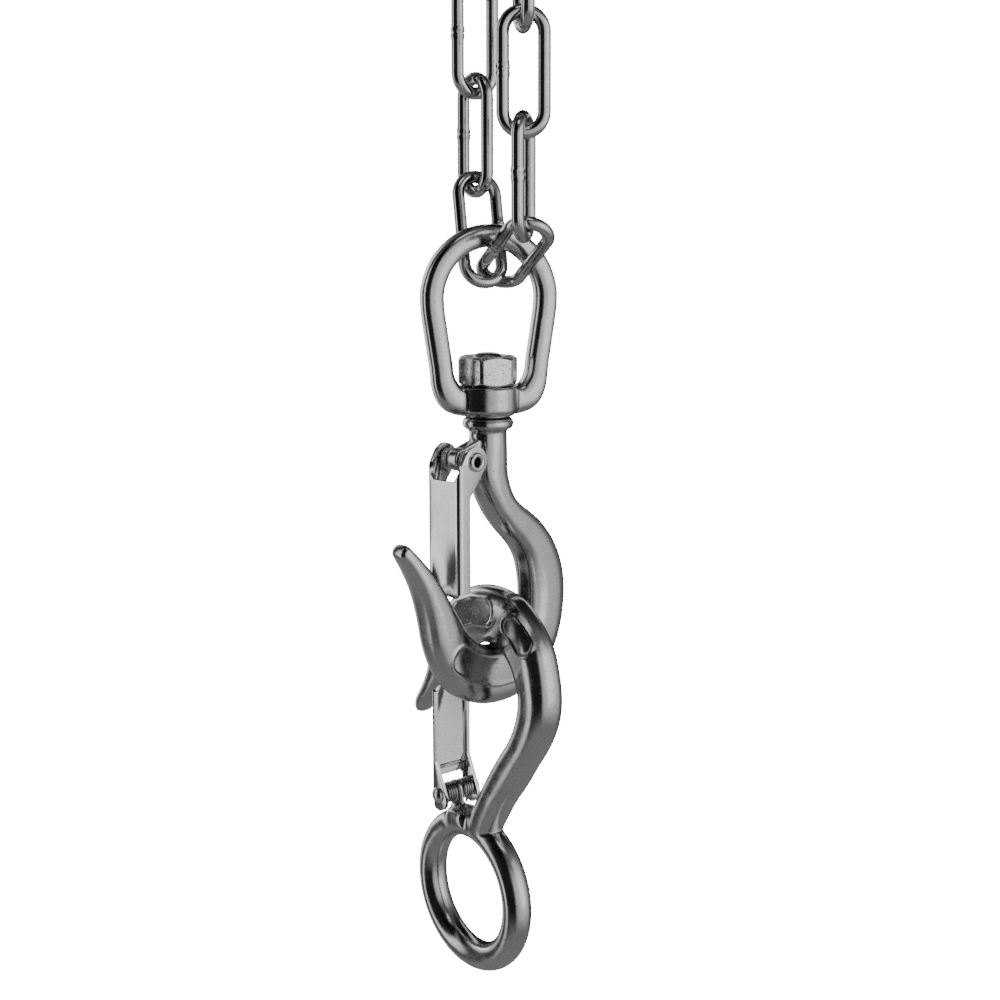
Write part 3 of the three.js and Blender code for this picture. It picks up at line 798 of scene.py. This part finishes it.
def cut_for_folding(bm, low, high):
    """Cuts the flat blank along the lines where it bends."""
    across = (1, 0, 0)
    up = (0, 0, 1)
    cuts = [(FLAT_HALF + BEND_LENGTH * k / 8, across) for k in range(9)]
    cuts += [(-at, axis) for at, axis in cuts]
    cuts += [(s, across) for s in np.linspace(-FLAT_HALF + 0.8, FLAT_HALF - 0.8, 9)]
    cuts += [(h, up) for h in np.arange(low, high, 1.4)]
    for at, axis in cuts:
        bmesh.ops.bisect_plane(bm, geom=bm.verts[:] + bm.edges[:] + bm.faces[:],
                               plane_co=[at * a for a in axis], plane_no=axis)


def folded(s, h, shape):
    """Where a point of the blank lands: the tongue dished, and both sides turned back."""
    web = shape["web"]
    side = 1 if s > 0 else -1
    beyond = abs(s) - FLAT_HALF
    if beyond <= 0:
        near_end = max(0.0, min(1.0, (shape["end"] + TONGUE - h) / TONGUE))
        dish = TONGUE_DISH * near_end**2 * max(0.0, 1 - (abs(s) / FLAT_HALF) ** 2)
        return web + dish, s, h
    if beyond < BEND_LENGTH:
        a = beyond / BEND
        return web + BEND * (1 - cos(a)), side * (FLAT_HALF + BEND * sin(a)), h
    return web + BEND + beyond - BEND_LENGTH, side * LATCH_HALF, h


def latch(name, shape, place):
    """The flat blank is cut, folded round its two bends, and thickened."""
    bm = bmesh.new()
    bm.faces.new([bm.verts.new((s, 0, h)) for s, h in latch_outline(shape)])
    cut_for_folding(bm, shape["end"] + 1, shape["pivot"][1] + 3)
    for vertex in bm.verts:
        vertex.co = folded(vertex.co.x, vertex.co.z, shape)
    bmesh.ops.recalc_face_normals(bm, faces=bm.faces)
    middle = min(bm.faces, key=lambda f: abs(f.calc_center_median().y)
                 + abs(f.calc_center_median().z - 40))
    if middle.normal.x > 0:
        bmesh.ops.reverse_faces(bm, faces=bm.faces)
    mesh = bpy.data.meshes.new(name)
    bm.to_mesh(mesh)
    bm.free()
    piece = bpy.data.objects.new(name, mesh)
    bpy.context.scene.collection.objects.link(piece)
    set_local_points(piece, np.array([v.co for v in mesh.vertices]), place)
    thicken = piece.modifiers.new("sheet", "SOLIDIFY")
    thicken.thickness = SHEET * MM
    thicken.offset = -1
    edges = piece.modifiers.new("edges", "BEVEL")
    edges.width = 0.18 * MM
    edges.segments = 3
    edges.limit_method = "ANGLE"
    edges.angle_limit = radians(50)
    return applied(piece)


# ---- Rivets and springs ----

RIVET_RADIUS = 1.9
DOME_HEIGHT = 1.3
LIP_RADIUS = 2.2  # of the middle of a tubular rivet's rolled lip
LIP_HALF = 0.8
BORE_DEPTH = 3
PLUG_RADIUS = 1.5
SPRING_WIRE = 0.42
COIL_RADIUS = 3
COIL_GAP = 0.1
STEPS_PER_TURN = 36


def rivet(name, shape, place, tubular):
    """A rivet through both ears, with domed heads or with rolled lips round open mouths."""
    u, z = shape["pivot"]
    ear = LATCH_HALF + 0.1
    if tubular:
        lip = [(LIP_RADIUS + LIP_HALF * cos(a), ear + 0.25 + LIP_HALF * sin(a))
               for a in np.linspace(0, pi, 14)]
        head = [(LIP_RADIUS + LIP_HALF, ear), *lip, (1.35, ear - 0.5), (1.3, ear - BORE_DEPTH),
                (0, ear - BORE_DEPTH)]
    else:
        dome = [(shape["head"] * cos(a), ear + 0.3 + DOME_HEIGHT * sin(a))
                for a in np.linspace(0, pi / 2, 14)]
        head = [(shape["head"], ear), *dome]
    half = [(RIVET_RADIUS, 0), (RIVET_RADIUS, ear), *head]
    profile = [(r, -h) for r, h in reversed(half)] + half
    return new_piece(name, *moved(laid_along_y(lathe(profile, 64)), u, 0, z), place)


def rivet_bore_shade(name, shape, place):
    """A dark plug through a tubular rivet: painted shade at the bottoms of its two mouths."""
    u, z = shape["pivot"]
    mouth = LATCH_HALF + 0.45
    plug = lathe([(0, -mouth), (PLUG_RADIUS, -mouth), (PLUG_RADIUS, mouth), (0, mouth)], 32)
    return new_piece(name, *moved(laid_along_y(plug), u, 0, z), place)


def spring(name, shape, place):
    """Two coils either side of the lug, joined by a bridge that bears on the latch's web."""
    u, z = shape["pivot"]
    leg_u, leg_z = shape["leg"]
    inner = shape["lug_half"] + GAP + SPRING_WIRE
    outer = inner + shape["turns"] * (2 * SPRING_WIRE + COIL_GAP)
    bridge_u = shape["web"] + SHEET + 2 * GAP + SPRING_WIRE
    half = [(bridge_u, outer, z - shape["web_start"] - 3)]
    steps = int(STEPS_PER_TURN * shape["turns"])
    for i in range(steps + 1):
        a = pi + i / STEPS_PER_TURN * 2 * pi
        depth = outer + (inner - outer) * i / steps
        half.append((u + COIL_RADIUS * cos(a), depth, z + COIL_RADIUS * sin(a)))
    half.append((u + leg_u, inner, z + leg_z))
    path = [(x, -y, h) for x, y, h in reversed(half)] + half
    return new_piece(name, *wire(path, SPRING_WIRE, 12), place)


def latch_set(prefix, shape, place, hook_name, latch_name, tubular):
    """A latch with its rivet and spring; only the latch moves on the hook."""
    finish_piece(latch(prefix + "_latch_sheet", shape, place), latch_name,
                 prefix + "_latch", SHEET_STEEL, crease=20)
    finish_piece(rivet(prefix + "_latch_rivet_pin", shape, place, tubular), hook_name,
                 prefix + "_latch_rivet", TURNED)
    # a tubular rivet also gets a dark plug, painted shade inside its bore
    if tubular:
        finish_piece(rivet_bore_shade(prefix + "_latch_rivet_bore", shape, place), hook_name,
                     prefix + "_latch_rivet", PAINTED_BORE_SHADE)
    finish_piece(spring(prefix + "_latch_spring_wire", shape, place), hook_name,
                 prefix + "_latch_spring", SPRING_STEEL)


latch_set("upper", UPPER, HOOK, "hook", "hook_latch", tubular=True)
latch_set("lower", LOWER, EYE_HOOK, "lower_hook", "lower_hook_latch", tubular=False)

# ---- Studio ----

ROOM_RADIUS = 3000
FLOOR_Z = -620
SWEEP = 600  # radius of the curve between floor and wall
WALL_TOP = 2400
CEILING_Z = 2600
PAPER_GLOW = 16
FLOOR_TONE = 0.24


def studio_wall():
    """A pale floor that sweeps up all round into pale walls and a ceiling."""
    flat = ROOM_RADIUS - SWEEP
    profile = [(0, FLOOR_Z), (flat, FLOOR_Z)]
    profile += [(flat + SWEEP * sin(a), FLOOR_Z + SWEEP - SWEEP * cos(a))
                for a in np.linspace(0, pi / 2, 16)[1:]]
    profile += [(ROOM_RADIUS, WALL_TOP), (0, CEILING_Z)]
    wall = new_piece("studio_floor", *lathe(profile))
    material, nodes, links, shader = node_material("studio_paper")
    coordinates = nodes.new("ShaderNodeTexCoord").outputs["Object"]
    tone = ramp(nodes, links, noise(nodes, links, coordinates, 3), [(0.3, 0.9), (0.7, 0.93)])
    links.new(tone, shader.inputs["Base Color"])
    shader.inputs["Roughness"].default_value = 0.9
    shader.inputs["Emission Color"].default_value = (1, 1, 1, 1)
    shader.inputs["Emission Strength"].default_value = PAPER_GLOW
    wall.data.materials.append(material)
    for polygon in wall.data.polygons:
        polygon.use_smooth = True
    wall.visible_glossy = False
    wall.visible_diffuse = False
    wall.visible_shadow = False


def bearing_share(degrees):
    """A bearing as a share of the way round; 0 degrees is -Y, and 90 is +X."""
    return (degrees + 180) / 360


# Brightness by bearing: a broad pale side at the right, narrow ones at the left, dark between.
AROUND = [
    (-180, 0.02), (-158, 0.02), (-146, 1.1), (-126, 0.9), (-117, 0.06), (-98, 0.09),
    (-92, 1.5), (-82, 1.5), (-75, 0.02), (-8, 0.015), (6, 0.7), (40, 1.05), (70, 1.05),
    (95, 0.82), (112, 0.24), (135, 0.12), (160, 0.02), (180, 0.02),
]
# Brightness by height, from straight down at 0 to straight up at 1, and the grey floor's share.
UPWARDS = [(0.0, 0.5), (0.3, 0.75), (0.5, 1.0), (0.68, 1.0), (0.8, 0.25), (1.0, 0.06)]
FLOOR_SHARE = [(0.16, 1), (0.3, 0)]


def share_of(nodes, links, value, low, high):
    """A value as a share of the way from low to high."""
    node = nodes.new("ShaderNodeMapRange")
    node.inputs["From Min"].default_value = low
    node.inputs["From Max"].default_value = high
    links.new(value, node.inputs["Value"])
    return node.outputs[0]


def studio_light():
    """The room as the steel mirrors it: brightness by bearing and height, over a grey floor."""
    world = bpy.data.worlds.new("studio")
    bpy.context.scene.world = world
    world.use_nodes = True
    nodes = world.node_tree.nodes
    links = world.node_tree.links
    direction = nodes.new("ShaderNodeSeparateXYZ")
    links.new(nodes.new("ShaderNodeTexCoord").outputs["Generated"], direction.inputs[0])
    flipped = nodes.new("ShaderNodeMath")
    flipped.operation = "MULTIPLY"
    flipped.inputs[1].default_value = -1
    links.new(direction.outputs["Y"], flipped.inputs[0])
    bearing = nodes.new("ShaderNodeMath")
    bearing.operation = "ARCTAN2"
    links.new(direction.outputs["X"], bearing.inputs[0])
    links.new(flipped.outputs[0], bearing.inputs[1])
    turned = share_of(nodes, links, bearing.outputs[0], -pi, pi)
    around = ramp(nodes, links, turned, [(bearing_share(b), tone) for b, tone in AROUND])
    height = share_of(nodes, links, direction.outputs["Z"], -1, 1)
    up = ramp(nodes, links, height, UPWARDS)
    floor = nodes.new("ShaderNodeMix")
    floor.data_type = "RGBA"
    links.new(ramp(nodes, links, height, FLOOR_SHARE), floor.inputs["Factor"])
    links.new(multiply(nodes, links, around, up), floor.inputs["A"])
    floor.inputs["B"].default_value = (FLOOR_TONE, FLOOR_TONE, FLOOR_TONE, 1)
    links.new(floor.outputs["Result"], nodes["Background"].inputs["Color"])
    nodes["Background"].inputs["Strength"].default_value = 1.0


def soft_light(name, place, aim, size, power):
    """A rectangular light that faces aim; places and sizes in metres, power in watts."""
    light = bpy.data.lights.new(name, "AREA")
    light.shape = "RECTANGLE"
    light.size, light.size_y = size
    light.energy = power
    lamp = bpy.data.objects.new(name, light)
    bpy.context.scene.collection.objects.link(lamp)
    away = Matrix.Translation(place).translation - Matrix.Translation(aim).translation
    lamp.location = place
    lamp.rotation_euler = away.to_track_quat("Z", "Y").to_euler()


studio_wall()
studio_light()
soft_light("right_softbox", (0.9, -0.55, 0.0), (0, 0, -0.2), (0.8, 1.2), 1.5)
soft_light("left_softbox", (-0.65, 0.65, 0.0), (0, 0, -0.2), (0.14, 1.0), 0.6)
soft_light("top_light", (0.1, -0.5, 0.9), (0, 0, -0.2), (0.5, 0.3), 0.6)
soft_light("back_light", (0, 0.8, 0.06), (0, 0, -0.15), (1.2, 0.22), 0.7)

# ---- Camera, in metres ----

CAMERA_PLACE = (0.00155, -0.4718, -0.1335)
CAMERA_TILT = 79.5  # degrees up from looking straight down

camera_data = bpy.data.cameras.new("camera")
camera_data.lens = 55.3
camera_data.clip_start = 0.01
camera = bpy.data.objects.new("camera", camera_data)
bpy.context.scene.collection.objects.link(camera)
camera.location = CAMERA_PLACE
camera.rotation_euler = (radians(CAMERA_TILT), 0, 0)
bpy.context.scene.camera = camera
